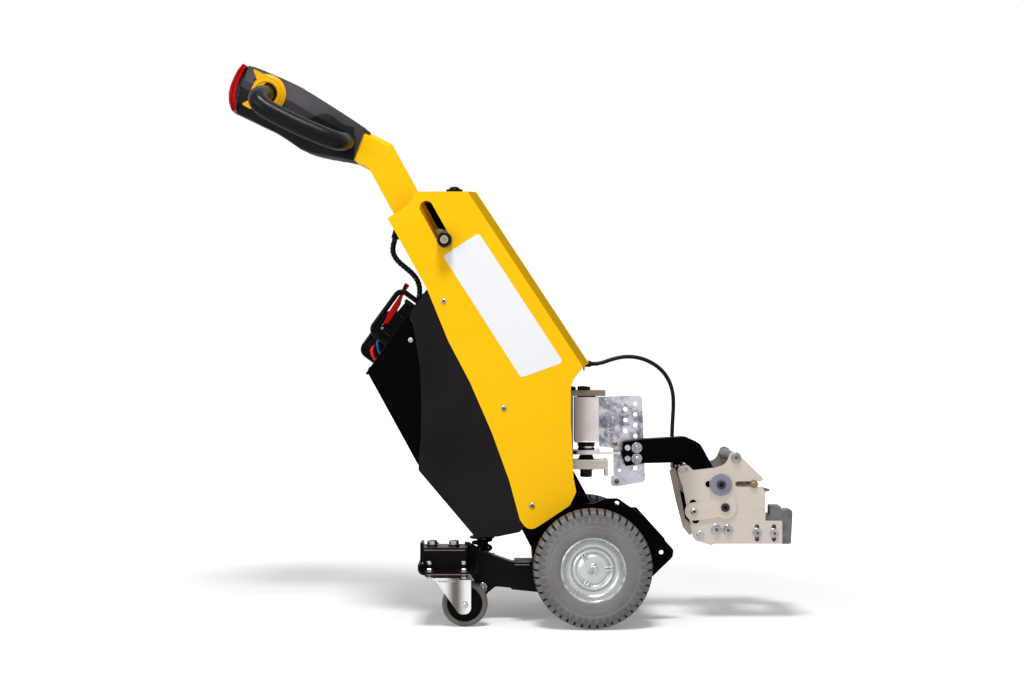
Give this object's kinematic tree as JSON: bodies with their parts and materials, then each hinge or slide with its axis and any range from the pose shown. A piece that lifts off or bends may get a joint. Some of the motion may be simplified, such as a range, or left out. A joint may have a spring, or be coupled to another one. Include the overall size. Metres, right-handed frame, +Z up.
{
  "type": "pedestrian electric tow tug",
  "caption": "Pedestrian electric tow tug with a leaning folded-sheet cover, tiller, driven wheels, rear casters, battery box and a swinging coupling with a latching hitch",
  "frame": {"origin": "on the floor, under the middle of the machine's box", "axes": "+X points from the tiller to the hitch, +Y to the machine's left, +Z up"},
  "size_m": [1.271, 0.415, 1.2537],
  "materials": {
    "cover_yellow": "semi-gloss powder coat",
    "cover_charcoal": "fine satin powder coat",
    "battery_black": "gloss black paint",
    "frame_black": "satin black powder coat",
    "zinc": "bright zinc plate",
    "stainless": "brushed stainless sheet",
    "tyre_grey": "grey non-marking rubber",
    "caster_grey": "grey rubber tread on black core",
    "head_grey": "moulded dark grey plastic",
    "button_red": "red moulded button",
    "throttle_yellow": "yellow moulded paddle",
    "grip_black": "soft black grip",
    "brass": "turned brass rod",
    "cable_black": "black cable sheath",
    "plug_black": "black moulded plug",
    "lever_red": "red moulded lever"
  },
  "bodies": {
    "chassis": {"cover_panel_right": "cover_yellow", "cover_panel_left": "cover_yellow", "cover_front": "cover_yellow", "cover_back": "cover_yellow", "rear_cover_right": "cover_charcoal", "rear_cover_left": "cover_charcoal", "rear_cover_back": "cover_charcoal", "battery_case": "battery_black", "battery_cells": "plug_black", "battery_lid": "battery_black", "bail_right": "frame_black", "bail_left": "frame_black", "connector": "plug_black", "connector_lever": "lever_red", "rear_gland": "plug_black", "rear_cable": "cable_black", "spine": "frame_black", "gusset_right": "frame_black", "gusset_left": "frame_black", "deck": "frame_black", "drive_unit": "frame_black", "motor": "frame_black", "rear_arm": "cover_charcoal", "spring": "frame_black", "spring_rod": "brass", "caster_beam": "frame_black", "clevis_top": "stainless", "clevis_base": "stainless", "pivot_bolt": "zinc", "front_gland": "plug_black", "front_cable": "cable_black"},
    "wheel_right": {"tyre_right": "tyre_grey", "rim_right": "zinc"},
    "wheel_left": {"tyre_left": "tyre_grey", "rim_left": "zinc"},
    "caster_right": {"caster_fork_right": "zinc"},
    "caster_left": {"caster_fork_left": "zinc"},
    "caster_wheel_right": {"caster_wheel_right": "caster_grey"},
    "caster_wheel_left": {"caster_wheel_left": "caster_grey"},
    "tiller": {"mast": "cover_yellow", "clamp_bar": "grip_black", "head_shell": "head_grey", "belly_button": "button_red", "throttle_right": "throttle_yellow", "throttle_left": "throttle_yellow", "grip_right": "grip_black", "grip_left": "grip_black"},
    "coupling": {"pivot_tube": "stainless", "hole_plate": "zinc", "arm": "frame_black", "hitch_plate_right": "stainless", "hitch_plate_left": "stainless", "ear_tube": "zinc", "hitch_tie": "stainless", "jaw": "zinc", "crank_pivot": "zinc"},
    "latch": {"crank_right": "stainless"},
    "latch_slide": {"latch_bar": "brass"}
  },
  "joints": [
    {"name": "wheel_right_spin", "type": "hinge", "parent": "chassis", "child": "wheel_right", "pos_m": [0.18556, -0.165, 0.13], "axis": [0, 1, 0], "continuous": true},
    {"name": "wheel_left_spin", "type": "hinge", "parent": "chassis", "child": "wheel_left", "pos_m": [0.18556, 0.165, 0.13], "axis": [0, 1, 0], "continuous": true},
    {"name": "caster_right_swivel", "type": "hinge", "parent": "chassis", "child": "caster_right", "pos_m": [-0.13244, -0.14, 0.108], "axis": [0, 0, 1], "continuous": true},
    {"name": "caster_wheel_right_spin", "type": "hinge", "parent": "caster_right", "child": "caster_wheel_right", "pos_m": [-0.09344, -0.14, 0.05], "axis": [0, 1, 0], "continuous": true},
    {"name": "caster_left_swivel", "type": "hinge", "parent": "chassis", "child": "caster_left", "pos_m": [-0.13244, 0.14, 0.108], "axis": [0, 0, 1], "continuous": true},
    {"name": "caster_wheel_left_spin", "type": "hinge", "parent": "caster_left", "child": "caster_wheel_left", "pos_m": [-0.09344, 0.14, 0.05], "axis": [0, 1, 0], "continuous": true},
    {"name": "tiller_slide", "type": "slide", "parent": "chassis", "child": "tiller", "axis": [-0.4802, 0, 0.8771], "range_m": [0, 0.08]},
    {"name": "coupling_swing", "type": "hinge", "parent": "chassis", "child": "coupling", "pos_m": [0.17896, 0, 0.43], "axis": [0, 0, 1], "range_deg": [-30, 30], "deforming": ["front_cable"]},
    {"name": "latch_turn", "type": "hinge", "parent": "coupling", "child": "latch", "pos_m": [0.48386, 0, 0.2551], "axis": [0, 1, 0], "range_deg": [-12, 12]},
    {"name": "latch_bar_slide", "type": "slide", "parent": "coupling", "child": "latch_slide", "axis": [1, 0, 0], "range_m": [-0.011, 0.011]}
  ],
  "couplings": [
    {"joint": "latch_bar_slide", "follows": "latch_turn", "m_per_rad": 0.0508}
  ]
}
